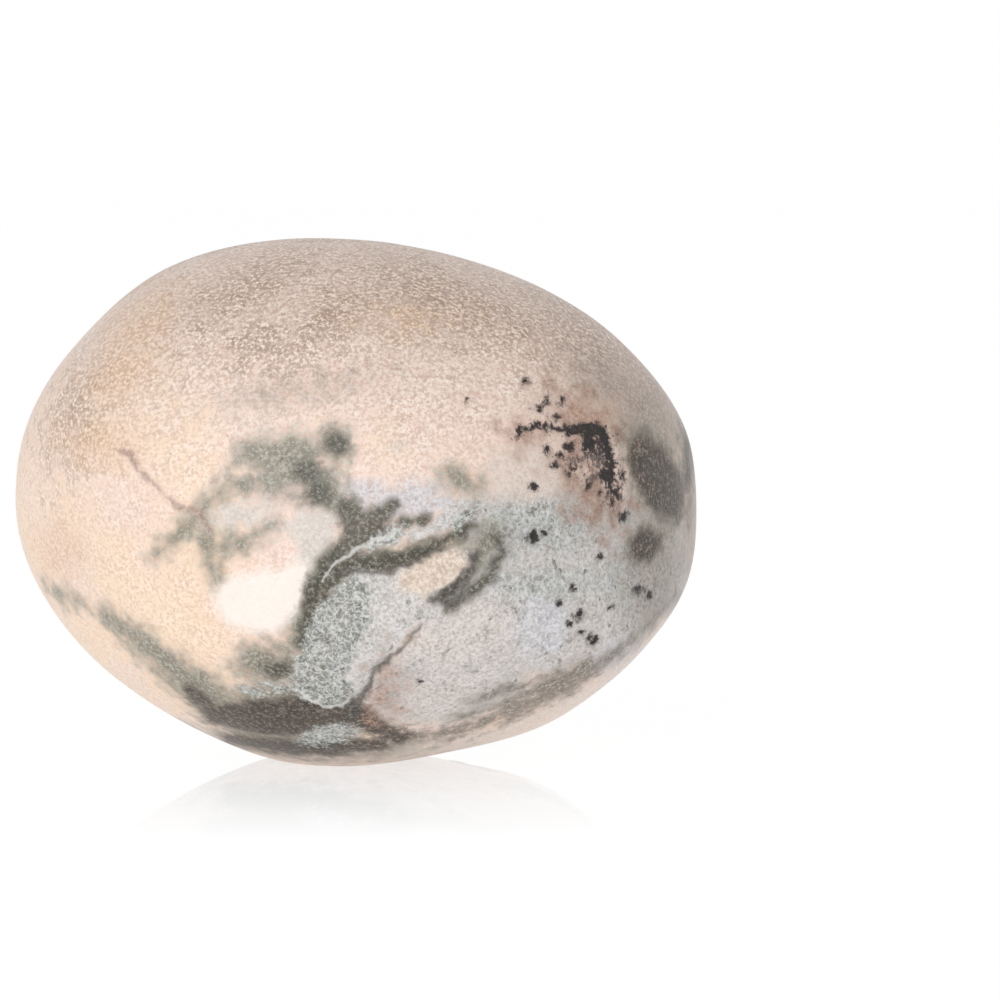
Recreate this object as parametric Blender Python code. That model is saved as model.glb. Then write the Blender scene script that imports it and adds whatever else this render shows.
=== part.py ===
"""Tumbled jasper: one small polished stone that rests on a flat worn spot.

The stone is one solid. A tumbled stone starts as a rough lump, and the barrel wears it
into a rounded block: an egg-like body with broad, soft faces that meet in even softer
shoulders. The same two things shape it here. A leaning ellipsoid is the body, each wear
face trims it to a plane, and one roundness exponent blends all of them together. The
spot it rests on is the only truly flat place.

Frame: metres, +Z up, origin on the ground under the middle of the stone's outline.
+X runs along the stone's length, and -Y is its front.
"""

import math
from dataclasses import dataclass

import bmesh
import bpy
from mathutils import Matrix, Vector

MM = 0.001

# Overall size of the finished stone.
LENGTH = 30.0 * MM
DEPTH = 25.8 * MM
HEIGHT = 22.9 * MM

# The body before wear: half lengths of its three axes, and how far its right end leans down.
BODY_HALF_LENGTH = 17.4 * MM
BODY_HALF_DEPTH = 13.0 * MM
BODY_HALF_HEIGHT = 11.8 * MM
BODY_LEAN = math.radians(11.7)

# How the faces blend: 2 would melt them into one ball, a large value leaves sharp edges.
ROUNDNESS = 20.0

# Height of the slice that wear took off the underside, which leaves the resting spot.
REST_SLICE = 0.22 * MM

# Edges shorter than this are merged where the resting spot cuts the mesh.
SHORTEST_EDGE = 0.09 * MM

# Each division after the first splits every triangle of the starting icosahedron in four.
DIVISIONS = 5

JASPER_COLOUR = (0.66, 0.54, 0.47, 1.0)
JASPER_ROUGHNESS = 0.38


@dataclass(frozen=True)
class WearFace:
    """A broad, almost flat face that tumbling wore on the body.

    Args:
        bearing: Direction that it faces, in degrees round +Z: 0 is the front, 90 is +X.
        rise: Degrees that it looks up, or down where negative.
        depth: How far it cuts in from the body's surface.
    """

    bearing: float
    rise: float
    depth: float

    def normal(self):
        """Return the outward direction of the face."""
        bearing = math.radians(self.bearing)
        rise = math.radians(self.rise)
        level = math.cos(rise)
        return Vector((math.sin(bearing) * level, -math.cos(bearing) * level, math.sin(rise)))


WEAR_FACES = {
    "underside": WearFace(90.0, -79.5, 1.95 * MM),
    "lower_right_bevel": WearFace(90.0, -48.5, 3.3 * MM),
    "right_end": WearFace(90.0, -3.1, 2.3 * MM),
    "upper_right_slope": WearFace(90.0, 37.5, 0.4 * MM),
    "upper_left_slope": WearFace(270.0, 42.7, 0.7 * MM),
    "left_end": WearFace(270.0, 10.0, 0.1 * MM),
    "front_low_ridge": WearFace(24.0, -50.0, 1.0 * MM),
    "front_flat": WearFace(-10.0, 16.0, 0.4 * MM),
    "front_right_shoulder": WearFace(36.0, 6.0, 1.2 * MM),
    "front_right_corner": WearFace(62.0, 2.0, 2.3 * MM),
    "front_left_corner": WearFace(-56.0, -14.0, 0.5 * MM),
    "back_upper_slope": WearFace(170.0, 38.0, 0.6 * MM),
    "back_lower_slope": WearFace(200.0, -34.0, 0.7 * MM),
    "back_left_corner": WearFace(240.0, 12.0, 0.4 * MM),
    "back_right_shoulder": WearFace(146.0, -4.0, 1.2 * MM),
    "back_right_corner": WearFace(118.0, -2.0, 2.3 * MM),
}


def body_stretch():
    """Return the matrix that turns the leaning body into a unit ball."""
    shrink = Matrix.Diagonal((1 / BODY_HALF_LENGTH, 1 / BODY_HALF_DEPTH, 1 / BODY_HALF_HEIGHT))
    return shrink @ Matrix.Rotation(-BODY_LEAN, 3, "Y")


def face_reaches(stretch):
    """Return each wear face's normal with its distance from the body's middle."""
    back = stretch.transposed().inverted()
    reaches = []
    for face in WEAR_FACES.values():
        normal = face.normal()
        reaches.append((normal, (back @ normal).length - face.depth))
    return reaches


def worn_radius(direction, stretch, reaches):
    """Return how far the worn surface lies from the middle, along a unit direction."""
    total = (stretch @ direction).length ** ROUNDNESS
    for normal, reach in reaches:
        total += max(0.0, direction.dot(normal) / reach) ** ROUNDNESS
    return total ** (-1 / ROUNDNESS)


def wear_down(mesh):
    """Move every vertex of a ball out to the worn surface."""
    stretch = body_stretch()
    reaches = face_reaches(stretch)
    for vertex in mesh.verts:
        direction = vertex.co.normalized()
        vertex.co = direction * worn_radius(direction, stretch, reaches)


def slice_resting_spot(mesh):
    """Cut the lowest sliver off level, and close the stone with one flat face."""
    ground = min(vertex.co.z for vertex in mesh.verts) + REST_SLICE
    geometry = mesh.verts[:] + mesh.edges[:] + mesh.faces[:]
    cut = bmesh.ops.bisect_plane(
        mesh, geom=geometry, dist=1e-7, plane_co=(0, 0, ground), plane_no=(0, 0, 1), clear_inner=True
    )
    rim = [item for item in cut["geom_cut"] if isinstance(item, bmesh.types.BMVert)]
    bmesh.ops.remove_doubles(mesh, verts=rim, dist=SHORTEST_EDGE)
    rim_edges = [edge for edge in mesh.edges if edge.is_boundary]
    bmesh.ops.contextual_create(mesh, geom=rim_edges)


def bring_to_size(mesh):
    """Give the stone its overall size, with the origin on the ground under its middle."""
    for axis, size in enumerate((LENGTH, DEPTH, HEIGHT)):
        places = [vertex.co[axis] for vertex in mesh.verts]
        low = min(places)
        middle = (low + max(places)) / 2
        start = low if axis == 2 else middle
        scale = size / (max(places) - low)
        for vertex in mesh.verts:
            vertex.co[axis] = (vertex.co[axis] - start) * scale


def polished_jasper():
    """Return the stone's material."""
    material = bpy.data.materials.new("polished_jasper")
    material.use_nodes = True
    shader = material.node_tree.nodes["Principled BSDF"]
    shader.inputs["Base Color"].default_value = JASPER_COLOUR
    shader.inputs["Roughness"].default_value = JASPER_ROUGHNESS
    shader.inputs["Metallic"].default_value = 0.0
    material.diffuse_color = JASPER_COLOUR
    return material


def build_stone():
    """Build the stone as one closed solid."""
    mesh = bmesh.new()
    bmesh.ops.create_icosphere(mesh, subdivisions=DIVISIONS, radius=LENGTH / 2)
    wear_down(mesh)
    slice_resting_spot(mesh)
    bring_to_size(mesh)
    bmesh.ops.recalc_face_normals(mesh, faces=mesh.faces)

    data = bpy.data.meshes.new("tumbled_jasper")
    mesh.to_mesh(data)
    mesh.free()
    data.materials.append(polished_jasper())
    data.shade_smooth()
    data.set_sharp_from_angle(angle=math.radians(30))
    stone = bpy.data.objects.new("tumbled_jasper", data)
    bpy.context.scene.collection.objects.link(stone)
    return stone


for leftover in list(bpy.data.objects):
    bpy.data.objects.remove(leftover)
build_stone()
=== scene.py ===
"""Looks of the tumbled jasper: its polished skin, its rock and the studio it stands in.

The stone is one solid, so there is one piece. Its outline comes from the CAD solid. Its skin
is a fine even mesh with gentle hollows and with cracks and dark grains that lie a little deeper.
Its rock is a pattern that runs through the solid, and the relief follows the same pattern.
"""

import logging
import math
from dataclasses import dataclass, field
from enum import Enum
from typing import Any, Optional, Union

import bpy
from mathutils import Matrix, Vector


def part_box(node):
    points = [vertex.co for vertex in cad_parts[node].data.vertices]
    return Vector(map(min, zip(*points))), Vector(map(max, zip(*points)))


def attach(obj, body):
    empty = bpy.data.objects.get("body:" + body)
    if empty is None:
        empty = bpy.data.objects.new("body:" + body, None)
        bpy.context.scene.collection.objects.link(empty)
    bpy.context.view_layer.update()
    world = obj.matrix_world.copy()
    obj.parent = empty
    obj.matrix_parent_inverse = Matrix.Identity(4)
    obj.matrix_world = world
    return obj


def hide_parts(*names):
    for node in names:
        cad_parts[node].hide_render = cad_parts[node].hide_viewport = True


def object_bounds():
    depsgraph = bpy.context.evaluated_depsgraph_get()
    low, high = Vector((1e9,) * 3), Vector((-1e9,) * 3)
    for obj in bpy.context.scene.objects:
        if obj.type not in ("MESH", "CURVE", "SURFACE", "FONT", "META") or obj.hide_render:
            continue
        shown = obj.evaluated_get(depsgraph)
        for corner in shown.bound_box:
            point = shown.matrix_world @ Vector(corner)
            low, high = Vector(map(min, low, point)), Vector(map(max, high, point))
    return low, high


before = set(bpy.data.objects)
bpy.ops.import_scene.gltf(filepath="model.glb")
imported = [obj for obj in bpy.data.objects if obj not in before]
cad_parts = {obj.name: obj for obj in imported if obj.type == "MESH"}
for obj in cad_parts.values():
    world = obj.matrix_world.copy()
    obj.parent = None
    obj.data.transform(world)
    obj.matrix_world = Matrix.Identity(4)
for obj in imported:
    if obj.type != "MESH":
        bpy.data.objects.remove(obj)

LOG = logging.getLogger("tumbled_jasper")
MM = 0.001
CAD_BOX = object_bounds()

Number = Union[int, float, "Signal"]
Colour = tuple[float, float, float, float]


def shade(red: int, green: int, blue: int) -> Colour:
    """Turn a display colour into the linear colour that shaders use.

    Args:
        red: Red as seen on a display, 0 to 255.
        green: Green as seen on a display, 0 to 255.
        blue: Blue as seen on a display, 0 to 255.

    Returns:
        The linear colour with full alpha.
    """
    linear = []
    for part in (red, green, blue):
        level = part / 255
        # The curve of the display standard, straight near black.
        linear.append(level / 12.92 if level <= 0.04045 else ((level + 0.055) / 1.055) ** 2.4)
    return (linear[0], linear[1], linear[2], 1.0)


# --------------------------------------------------------------------------- nodes


class Signal:
    """A value on its way through a node tree, usable in Python arithmetic."""

    def __init__(self, bench: "NodeBench", socket: bpy.types.NodeSocket) -> None:
        """Wrap a socket.

        Args:
            bench: The bench that adds nodes to the socket's tree.
            socket: The output socket that carries the value.
        """
        self.bench = bench
        self.socket = socket

    def __add__(self, other: Number) -> "Signal":
        """Return self + other."""
        return self.bench.maths("ADD", self, other)

    def __radd__(self, other: Number) -> "Signal":
        """Return other + self."""
        return self.bench.maths("ADD", other, self)

    def __sub__(self, other: Number) -> "Signal":
        """Return self - other."""
        return self.bench.maths("SUBTRACT", self, other)

    def __rsub__(self, other: Number) -> "Signal":
        """Return other - self."""
        return self.bench.maths("SUBTRACT", other, self)

    def __mul__(self, other: Number) -> "Signal":
        """Return self * other."""
        return self.bench.maths("MULTIPLY", self, other)

    def __rmul__(self, other: Number) -> "Signal":
        """Return other * self."""
        return self.bench.maths("MULTIPLY", other, self)

    def above(self, other: Number) -> "Signal":
        """Return the greater of the two values."""
        return self.bench.maths("MAXIMUM", self, other)

    def below(self, other: Number) -> "Signal":
        """Return the smaller of the two values."""
        return self.bench.maths("MINIMUM", self, other)

    def size(self) -> "Signal":
        """Return the value without its sign."""
        return self.bench.maths("ABSOLUTE", self)

    def swing(self) -> "Signal":
        """Return how far a noise is above its middle value of 0.5."""
        return self - 0.5

    def held(self) -> "Signal":
        """Return the value held between 0 and 1."""
        inputs = {"Value": self, "Min": 0.0, "Max": 1.0}
        return self.bench.signal(self.bench.node("ShaderNodeClamp", inputs=inputs))


@dataclass(frozen=True)
class Ramp:
    """A straight rise or fall with a value, such as a height or a noise.

    Args:
        zero: The value at which it is 0.
        slope: How fast it grows with the value; below 0 it shrinks.
    """

    zero: float
    slope: float

    def of(self, value: Signal) -> Signal:
        """Return the ramp's height at a value."""
        return (value - self.zero) * self.slope


@dataclass(frozen=True)
class Ridge:
    """A ridge that is highest at one value and falls away on both sides.

    Args:
        middle: The value at which it is highest.
        top: Its height there.
        slope: How fast it falls away.
    """

    middle: float
    top: float
    slope: float

    def of(self, value: Signal) -> Signal:
        """Return the ridge's height at a value."""
        return self.top - (value - self.middle).size() * self.slope


@dataclass(frozen=True)
class Grain:
    """How fine a noise is.

    Args:
        per_mm: Its grains in a millimetre.
        detail: How many finer layers it has.
        rough: How strong the finer layers are.
    """

    per_mm: float
    detail: float = 2.0
    rough: float = 0.5


class NodeBench:
    """Adds nodes to one tree, for a material or for a geometry modifier."""

    # The Mix node's sockets for a share and two colours, and its output for a colour.
    MIX_SHARE = 0
    MIX_FIRST = 6
    MIX_SECOND = 7
    MIX_RESULT = 2

    # Steps in millimetres between the three noises that shift a place.
    APART = ((0.0, 0.0, 0.0), (37.0, 11.0, 5.0), (-13.0, 29.0, -41.0))

    def __init__(self, tree: bpy.types.NodeTree) -> None:
        """Take a tree to work on.

        Args:
            tree: The node tree that receives every node.
        """
        self.tree = tree

    def node(
        self, kind: str, settings: Optional[dict[str, Any]] = None, inputs: Optional[dict[Any, Any]] = None
    ) -> bpy.types.Node:
        """Add a node, set it up and feed its sockets.

        Args:
            kind: Blender's name for the node type.
            settings: The node's own properties, which are set first.
            inputs: Socket names or numbers, each with a value or a Signal to link.

        Returns:
            The new node.
        """
        node = self.tree.nodes.new(kind)
        for name, value in (settings or {}).items():
            setattr(node, name, value)
        for name, value in (inputs or {}).items():
            if isinstance(value, Signal):
                self.tree.links.new(value.socket, node.inputs[name])
            else:
                node.inputs[name].default_value = value
        return node

    def signal(self, node: bpy.types.Node, output: Union[int, str] = 0) -> Signal:
        """Wrap one output of a node."""
        return Signal(self, node.outputs[output])

    def maths(self, operation: str, *values: Number) -> Signal:
        """Add a Math node.

        Args:
            operation: The Math node's operation.
            values: Its inputs, in order.

        Returns:
            The result.
        """
        return self.signal(self.node("ShaderNodeMath", {"operation": operation}, dict(enumerate(values))))

    def vector(self, operation: str, *values: Any, output: str = "Vector") -> Signal:
        """Add a Vector Math node.

        Args:
            operation: The Vector Math node's operation.
            values: Its inputs: vectors, and for SCALE a vector and a number.
            output: The output to return, "Vector" or "Value".

        Returns:
            The result.
        """
        inputs: dict[Any, Any] = dict(enumerate(values))
        if operation == "SCALE":
            inputs = {0: values[0], "Scale": values[1]}
        return self.signal(self.node("ShaderNodeVectorMath", {"operation": operation}, inputs), output)

    def mix(self, share: Number, first: Any, second: Any) -> Signal:
        """Blend two colours.

        Args:
            share: How much of the second colour, 0 to 1.
            first: A colour or a Signal that carries one.
            second: A colour or a Signal that carries one.

        Returns:
            The blended colour.
        """
        settings = {"data_type": "RGBA", "blend_type": "MIX", "clamp_factor": True}
        inputs = {self.MIX_SHARE: share, self.MIX_FIRST: first, self.MIX_SECOND: second}
        return self.signal(self.node("ShaderNodeMix", settings, inputs), self.MIX_RESULT)

    def noise(self, place: Signal, grain: Grain) -> Signal:
        """Add a cloud-like noise.

        Args:
            place: Where it is read, in millimetres.
            grain: How fine it is.

        Returns:
            The noise, about 0.5 on average.
        """
        inputs = {
            "Vector": place, "Scale": grain.per_mm, "Detail": grain.detail, "Roughness": grain.rough,
        }
        return self.signal(self.node("ShaderNodeTexNoise", {"noise_dimensions": "3D"}, inputs), "Fac")

    def stray(self, place: Signal, grain: Grain, reach: float) -> Signal:
        """Shift a place a little, by three noises.

        Args:
            place: The place to shift, in millimetres.
            grain: How fine the noises are.
            reach: How far the shift goes, in millimetres.

        Returns:
            The shifted place.
        """
        noises = []
        for apart in self.APART:
            there = self.vector("ADD", place, apart)
            noises.append(self.maths("MULTIPLY_ADD", self.noise(there, grain), 2 * reach, -reach))
        shift = self.node("ShaderNodeCombineXYZ", inputs=dict(enumerate(noises)))
        return self.vector("ADD", place, self.signal(shift))

    def cells(self, place: Signal, per_mm: float) -> Signal:
        """Add a pattern of irregular cells.

        Args:
            place: Where it is read, in millimetres.
            per_mm: Its cells in a millimetre.

        Returns:
            The distance to the nearest cell's middle, in cells.
        """
        settings = {"voronoi_dimensions": "3D", "feature": "F1"}
        inputs = {"Vector": place, "Scale": per_mm}
        return self.signal(self.node("ShaderNodeTexVoronoi", settings, inputs), "Distance")

    def parts(self, vector: Signal) -> tuple[Signal, Signal, Signal]:
        """Split a vector or a colour in its three values."""
        node = self.node("ShaderNodeSeparateXYZ", inputs={0: vector})
        return self.signal(node, 0), self.signal(node, 1), self.signal(node, 2)


# --------------------------------------------------------------------------- the rock


class Zone(Enum):
    """The kinds of rock and stain that the surface cuts through; one of them also carries painted shade."""

    SANDY = "pink sandy rock with dark and light grains"
    OCHRE = "ochre tint"
    GREY = "lilac-grey rock"
    MIST = "blue-grey rock"
    LILAC = "pale lilac chalcedony"
    BLUSH = "pale pink rock"
    # Painted shade at the right end and round the resting spot, and a thin brown veil in a few small spots on
    # the front.
    VEIL_AND_SHADE = "thin brown veil"
    CLOUD = "grey-green clouds"
    MILK = "milky grey-cream patches"
    CREAM = "clean cream patches"
    BAND = "dark green-grey bands"
    UMBER = "dark brown-grey lenses"
    BEVEL = "smooth beige rock"
    RIDGE = "brown-grey streaks"
    PALE = "pale healed rubble"
    FROST = "pale broken block with a dark network"
    TAN = "tan lens"
    RUST = "rusty stain"
    VEIN = "white veins"
    THREAD = "purple-brown threads"
    CRACK = "healed dark cracks"
    PEPPER = "loose net of black grains"
    SOOT = "black mineral grains"


@dataclass(frozen=True)
class Lens:
    """An oval inclusion, as it shows on the stone's front.

    Args:
        x: Place along the stone, in millimetres.
        z: Height, in millimetres.
        length: Half its length.
        height: Half its height.
        turn: Degrees that its right end is turned up.
    """

    x: float
    z: float
    length: float
    height: float
    turn: float = 0.0


@dataclass(frozen=True)
class Streak:
    """A band, vein or crack that runs from point to point on the stone's front.

    Args:
        points: Place along the stone, height and half width of each point, in millimetres.
    """

    points: tuple[tuple[float, float, float], ...]


Mark = Union[Lens, Streak]


def dots(*places: tuple[float, float, float]) -> tuple[Lens, ...]:
    """Return a round grain at each place, given as place along, height and radius."""
    return tuple(Lens(x, z, radius, radius) for x, z, radius in places)


MARKS: dict[Zone, tuple[Mark, ...]] = {
    Zone.SANDY: (
        Lens(-1.1, 19.7, 1.9, 0.8, 32),  # darkest field, high on the front
        Lens(-3.7, 18.6, 1.4, 0.8, 10),
        Lens(-4.5, 20.9, 2.1, 0.7, 30),  # left of the crown
        Lens(3.6, 20.4, 3.4, 1.2, -15),  # right of the crown
        Lens(7.0, 19.2, 1.7, 0.7, -20),
        Lens(10.5, 18.8, 3.3, 1.2, -35),  # right shoulder
        Lens(-12.0, 15.1, 0.8, 1.7, -20),  # left end
    ),
    Zone.OCHRE: (
        Lens(-9.2, 19.4, 1.5, 0.9, 40),  # left shoulder
        Lens(-9.8, 17.5, 1.4, 0.7, 40),
        Lens(-10.9, 14.4, 1.4, 0.8),
        Lens(-12.7, 9.6, 1.0, 1.1),  # left end
        Lens(2.2, 19.7, 1.3, 0.4),  # under the crown
        Lens(10.6, 15.8, 0.6, 0.4),  # over the black grains
    ),
    Zone.GREY: (
        Lens(7.9, 8.0, 5.4, 3.5, 8),  # lower right field
        Lens(12.1, 8.1, 2.5, 4.1),  # right end
        Lens(3.9, 4.5, 4.0, 2.0, 12),  # right of the broken block
        Lens(6.0, 11.0, 2.1, 1.3),
    ),
    Zone.MIST: (
        Lens(8.0, 11.3, 2.5, 1.3, -5),  # upper edge of the grey field
        Lens(6.0, 10.6, 0.8, 0.7),
        Lens(7.9, 8.5, 2.4, 0.6),
        Lens(12.1, 8.5, 1.7, 1.5),
    ),
    Zone.LILAC: (
        Lens(1.8, 12.4, 1.8, 0.5, 3),  # over the dark fork
        Lens(0.3, 12.6, 1.1, 0.45),
        Streak(((1.6, 11.8, 0.25), (2.6, 12.0, 0.4), (3.8, 12.1, 0.4))),
        Streak(((4.7, 9.9, 0.1), (5.7, 9.7, 0.15), (5.1, 8.7, 0.15))),  # between the eye's lids
        Lens(7.7, 6.7, 1.1, 1.2),  # bluest patch of the grey field
        Lens(10.9, 5.3, 0.9, 0.5, 40),
    ),
    Zone.BLUSH: (
        Lens(4.7, 6.6, 1.8, 1.2, 20),
        Lens(3.1, 3.6, 2.1, 0.8, 12),
        Lens(2.6, 6.4, 1.2, 0.8, 40),
    ),
    # The lenses at the right end and shoulder are painted shade, where less light falls on the rounded end;
    # the small lenses on the front are a thin brown veil.
    Zone.VEIL_AND_SHADE: (
        Lens(14.7, 11.5, 0.9, 5.7),  # right end
        Lens(12.8, 9.3, 1.3, 3.9),
        Lens(12.5, 15.2, 1.9, 1.2, -50),  # right shoulder
        Lens(10.8, 16.6, 1.5, 0.7, -35),
        Lens(9.9, 12.1, 1.0, 0.6, -40),
        # Painted shade under the stone, round the resting spot.
        Lens(-1.2, 0.8, 5.6, 0.6),  # round the resting spot
        Lens(-2.7, 16.6, 0.5, 0.1, 10),
        Lens(-3.0, 12.6, 1.0, 0.5),
    ),
    Zone.BEVEL: (
        Streak((
            (1.8, 1.1, 0.25), (4.2, 1.2, 0.4), (6.6, 1.9, 0.45), (8.9, 3.0, 0.5), (10.6, 3.8, 0.45),
            (12.2, 5.1, 0.4), (13.3, 6.5, 0.3),
        )),  # along the lower right wear face
        Lens(7.1, 13.2, 1.8, 1.1, -8),  # left of the black grains
    ),
    Zone.CLOUD: (
        # The upper cloud, its knob and its stem.
        Lens(-2.9, 13.9, 1.7, 1.0, 8),
        Lens(-4.2, 14.2, 0.8, 0.4, 30),
        Streak(((-2.4, 14.1, 0.5), (-1.5, 14.3, 0.5), (-0.8, 14.6, 0.6))),
        Streak(((-2.4, 13.8, 0.8), (-1.6, 12.9, 0.8), (-0.9, 12.0, 0.6))),
        # Its long arm to the left, the arm's leg and the patch between them.
        Streak(((-8.4, 9.8, 0.15), (-7.3, 10.9, 0.3), (-5.3, 12.7, 0.3), (-3.9, 13.2, 0.4))),
        Streak(((-6.4, 11.7, 0.3), (-6.2, 10.3, 0.4), (-5.9, 8.9, 0.25))),
        Lens(-4.9, 10.5, 1.2, 0.45, 22),
        # The lower cloud, from the left end down to the resting spot.
        Lens(-12.9, 7.7, 0.4, 0.25, -30),
        Lens(-12.0, 7.2, 0.3, 0.15),
        Streak((
            (-10.7, 6.9, 0.35), (-9.3, 5.9, 0.55), (-8.0, 4.8, 0.65), (-6.6, 3.8, 0.85), (-5.8, 2.8, 1.0),
            (-4.6, 2.1, 0.85),
        )),
        Lens(-3.8, 5.2, 1.3, 1.0),
        Lens(-3.4, 3.3, 2.5, 1.2, 5),
        Lens(-2.0, 1.4, 4.3, 0.7),
        # The soft edges of the dark fork and of the eye.
        Streak(((-1.6, 9.5, 0.75), (-2.4, 8.1, 0.6), (-2.4, 6.3, 0.6))),
        Streak(((-1.0, 8.9, 0.5), (1.0, 9.7, 0.6), (3.0, 10.3, 0.5), (4.5, 10.9, 0.4))),
        Streak(((5.2, 9.9, 0.35), (4.8, 9.2, 0.35), (4.1, 8.5, 0.3), (3.5, 8.2, 0.2))),
        Lens(5.3, 10.4, 0.9, 0.6, 25),
        Lens(4.4, 12.9, 0.75, 0.45, -20),
        # The soft edges of the brown lenses on the right.
        Lens(12.8, 12.9, 2.2, 1.15, -62),
        Lens(12.3, 9.9, 0.8, 0.8),
        Lens(14.3, 13.7, 0.4, 1.1),
        Lens(13.3, 10.3, 0.25, 0.2),
    ),
    Zone.MILK: (
        Streak(((-2.1, 11.0, 0.65), (-1.5, 11.1, 0.65), (-1.7, 10.3, 0.8))),  # top of the cream patch
        Lens(-4.8, 11.6, 1.1, 0.4, 15),
    ),
    Zone.CREAM: (
        Streak(((-4.9, 7.9, 1.0), (-3.9, 8.0, 1.3), (-3.1, 8.2, 0.9), (-2.4, 9.2, 0.5))),
    ),
    Zone.RIDGE: (
        Streak((
            (1.0, 1.8, 0.2), (4.0, 1.9, 0.25), (6.3, 2.7, 0.35), (8.6, 3.8, 0.45), (10.1, 4.7, 0.35),
            (11.6, 5.7, 0.15), (13.8, 7.5, 0.1),
        )),
        Streak(((4.0, 2.5, 0.1), (6.3, 3.3, 0.2), (8.3, 4.1, 0.4), (9.9, 4.9, 0.4))),
        Streak(((4.8, 3.4, 0.1), (6.5, 3.9, 0.15), (8.6, 4.6, 0.15))),
    ),
    Zone.BAND: (
        # The dark fork in the middle and its two blobs.
        Streak((
            (-0.3, 11.8, 0.5), (-0.1, 10.6, 0.5), (-1.0, 9.5, 0.65), (-1.7, 8.2, 0.65), (-1.8, 7.0, 0.55),
            (-2.2, 6.1, 0.4),
        )),
        Lens(0.4, 11.1, 1.0, 0.8, 20),
        Streak(((0.4, 11.1, 0.6), (1.5, 12.0, 0.3))),
        Lens(2.0, 11.3, 0.4, 0.3),
        Lens(2.8, 11.4, 0.35, 0.25),
        # The eye's upper, inner and outer lid.
        Streak(((-1.4, 8.8, 0.35), (-0.6, 9.5, 0.45), (1.0, 9.6, 0.4), (2.5, 10.0, 0.35), (4.9, 11.1, 0.15))),
        Streak(((5.1, 9.9, 0.15), (4.7, 9.1, 0.2), (4.0, 8.5, 0.25), (3.5, 8.1, 0.25))),
        Streak(((5.9, 10.6, 0.2), (6.1, 9.9, 0.15), (5.7, 9.1, 0.2), (4.9, 8.4, 0.2), (3.9, 7.8, 0.25))),
        # The darker cores of the clouds.
        Lens(-0.8, 14.6, 0.5, 0.45),
        Lens(-2.0, 13.4, 0.6, 0.5),
        Lens(-1.5, 12.5, 0.6, 0.5),
        Lens(-3.3, 4.9, 0.6, 0.4),
    ),
    Zone.UMBER: (
        Streak((
            (-7.1, 3.8, 0.25), (-6.1, 2.6, 0.45), (-4.3, 2.6, 0.85), (-2.0, 2.8, 0.95), (-0.5, 2.9, 0.75),
            (0.4, 2.6, 0.55), (1.8, 1.8, 0.35),
        )),  # above the resting spot
        Streak(((-5.5, 1.3, 0.35), (-2.5, 1.1, 0.45), (-0.7, 1.3, 0.45), (1.0, 1.4, 0.35))),
        Lens(12.9, 12.7, 2.1, 0.95, -62),  # right of the black grains
        Lens(12.3, 9.9, 0.7, 0.7),
        Lens(14.4, 12.9, 0.2, 1.3),
    ),
    Zone.PALE: (
        # The smooth right half of the broken block.
        Streak(((1.9, 8.5, 0.85), (1.3, 7.6, 1.2), (0.4, 6.3, 1.1), (-0.3, 4.9, 0.85))),
        Lens(0.8, 8.8, 1.0, 0.45, -15),
        Lens(2.3, 7.6, 1.1, 0.5, -10),
        # The crust over the eye.
        Streak(((1.2, 10.7, 0.15), (2.1, 10.8, 0.15), (3.2, 11.0, 0.2), (3.9, 11.5, 0.4), (4.3, 11.9, 0.4))),
    ),
    Zone.FROST: (
        # The rough left half of the broken block.
        Streak(((-0.2, 8.2, 0.75), (-0.6, 7.2, 1.1), (-1.3, 5.7, 1.1), (-1.9, 4.4, 0.85), (-0.7, 4.0, 0.6))),
        # The ends of the crust over the eye.
        Lens(1.3, 10.7, 0.75, 0.35, 25),
        Streak(((4.1, 11.2, 0.15), (4.9, 11.8, 0.25))),
        # Crumbs of the block in the brown rock under it.
        Lens(-1.2, 1.9, 1.2, 0.45, 12),
        Lens(-3.1, 4.1, 0.75, 0.2, -5),
        Lens(-4.5, 3.9, 0.45, 0.2, -10),
    ),
    Zone.TAN: (
        Lens(3.2, 9.2, 1.5, 0.7, 20),  # the eye
        Lens(1.8, 14.5, 0.4, 0.2, 20),
    ),
    Zone.RUST: (
        Lens(9.7, 15.2, 1.4, 1.0, -40),
        Lens(9.4, 13.7, 1.0, 0.85),
        Lens(10.1, 12.2, 1.4, 0.9, -50),
        Lens(6.9, 14.7, 0.4, 0.35),
        Lens(1.2, 3.9, 0.55, 0.9),  # beside the block's crack
    ),
    Zone.VEIN: (
        Streak((
            (-2.7, 4.0, 0.05), (-1.4, 3.3, 0.08), (-0.6, 3.3, 0.09), (0.2, 4.1, 0.07), (0.9, 5.2, 0.07),
            (1.7, 6.1, 0.05),
        )),  # rim of the block
        Streak((
            (-1.4, 8.8, 0.04), (-1.0, 9.5, 0.05), (-0.2, 10.1, 0.08), (0.8, 10.6, 0.1), (1.6, 10.9, 0.13),
        )),  # under the crust over the eye
    ),
    Zone.THREAD: (
        Streak((
            (-10.1, 14.2, 0.06), (-9.5, 13.9, 0.13), (-9.2, 13.4, 0.1), (-8.0, 12.3, 0.08),
            (-7.5, 11.9, 0.08), (-6.6, 11.7, 0.12), (-6.1, 10.8, 0.08),
        )),
    ),
    Zone.CRACK: (
        Streak(((2.6, 6.9, 0.06), (1.7, 5.8, 0.09), (0.8, 5.0, 0.11), (0.4, 4.1, 0.17), (-0.2, 3.1, 0.34))),
        Streak(((5.0, 10.0, 0.08), (4.7, 9.3, 0.13), (4.1, 8.6, 0.15), (3.4, 8.1, 0.1))),
        Streak(((4.8, 8.9, 0.08), (4.3, 8.3, 0.13), (3.7, 7.9, 0.15), (3.0, 8.1, 0.08))),
        Streak(((-0.6, 9.3, 0.06), (1.0, 9.2, 0.1), (2.2, 9.6, 0.1), (3.5, 10.2, 0.06))),
    ),
    Zone.PEPPER: (
        Lens(10.2, 14.0, 1.1, 1.3, -20),
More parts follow.
